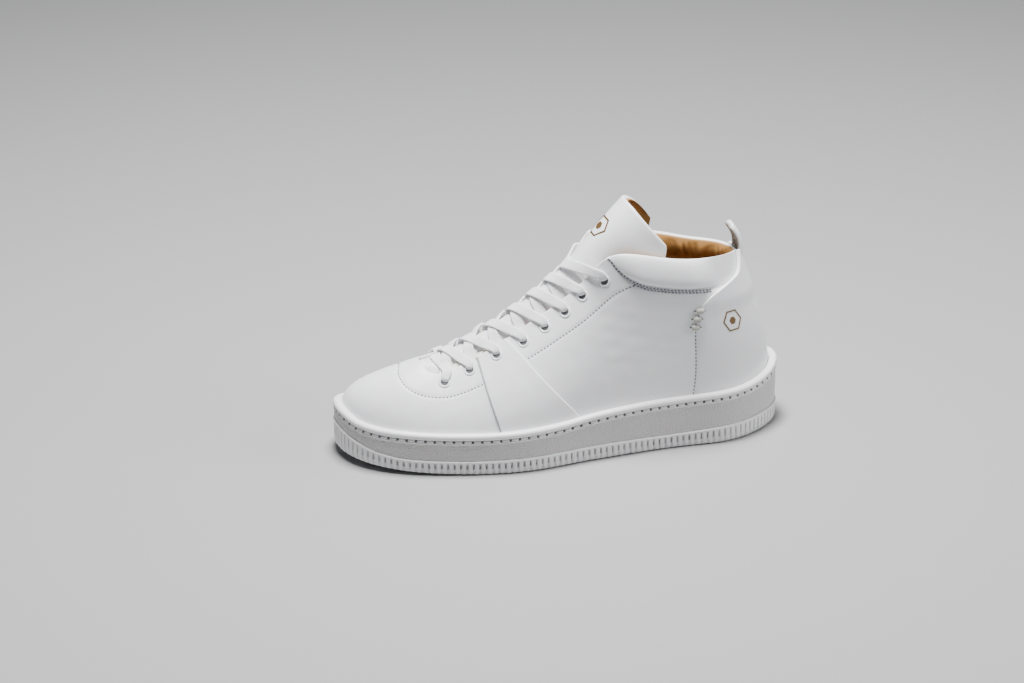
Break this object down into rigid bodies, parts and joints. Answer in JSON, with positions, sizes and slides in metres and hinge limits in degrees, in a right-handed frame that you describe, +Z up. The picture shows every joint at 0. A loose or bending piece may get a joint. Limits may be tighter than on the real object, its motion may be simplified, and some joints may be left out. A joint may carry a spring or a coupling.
{
  "type": "basketball high top",
  "caption": "Left lace-up high top with a padded collar, wide tongue, heel pull tab and a stitched cup sole with a ribbed edge.",
  "frame": {"origin": "on the ground under the middle of the shoe's box", "axes": "+X towards the heel, -X towards the toe, -Y towards the outer side, +Z up"},
  "size_m": [0.3008, 0.1096, 0.1605],
  "materials": {
    "white_leather": "smooth full-grain leather, matt",
    "tan_leather": "soft unfinished calf lining",
    "textile_lining": "woven lining",
    "collar_foam": "leather over foam",
    "white_rubber": "smooth moulded rubber",
    "grained_rubber": "leather-grained moulded rubber",
    "foam": "light foam",
    "board": "fibre board",
    "stiffener": "thermoplastic sheet",
    "thread": "waxed thread",
    "eyelet_paint": "white gloss paint",
    "cotton_lace": "flat woven cotton",
    "gold_foil": "stamped foil"
  },
  "bodies": {
    "shoe": {"outsole": "white_rubber", "sole_cup": "grained_rubber", "welt_bead": "white_rubber", "sole_stitching": "thread", "midsole_foam": "foam", "lasting_board": "board", "footbed": "tan_leather", "vamp": "white_leather", "mid_panel_outer": "white_leather", "mid_panel_inner": "white_leather", "quarter_outer": "white_leather", "quarter_inner": "white_leather", "heel_panel": "white_leather", "toe_puff": "stiffener", "heel_counter": "stiffener", "eyestay_outer": "stiffener", "eyestay_inner": "stiffener", "vamp_lining": "textile_lining", "quarter_lining_outer": "tan_leather", "quarter_lining_inner": "tan_leather", "collar_pad": "collar_foam", "collar_lining": "tan_leather", "tongue_base": "white_leather", "tongue_base_lining": "tan_leather", "eyelets_outer": "eyelet_paint", "eyelets_inner": "eyelet_paint", "lace_bar": "cotton_lace", "lace_outer_run": "cotton_lace", "lace_inner_run": "cotton_lace", "vamp_stitching": "thread", "eyestay_stitching": "thread", "collar_stitching": "thread", "heel_stitching": "thread", "heel_hand_stitches": "thread", "heel_badge": "gold_foil"},
    "tongue": {"tongue_top": "white_leather", "tongue_top_lining": "tan_leather", "tongue_badge": "gold_foil"},
    "tab": {"pull_tab": "white_leather"}
  },
  "joints": [
    {"name": "tongue_flex", "type": "hinge", "parent": "shoe", "child": "tongue", "pos_m": [0.012, 0, 0.13], "axis": [0, 1, 0], "range_deg": [-25, 4], "stiffness_Nm_per_rad": 0.08},
    {"name": "pull_tab_flex", "type": "hinge", "parent": "shoe", "child": "tab", "pos_m": [0.121, 0, 0.1242], "axis": [0, 1, 0], "range_deg": [-35, 55], "stiffness_Nm_per_rad": 0.01}
  ]
}
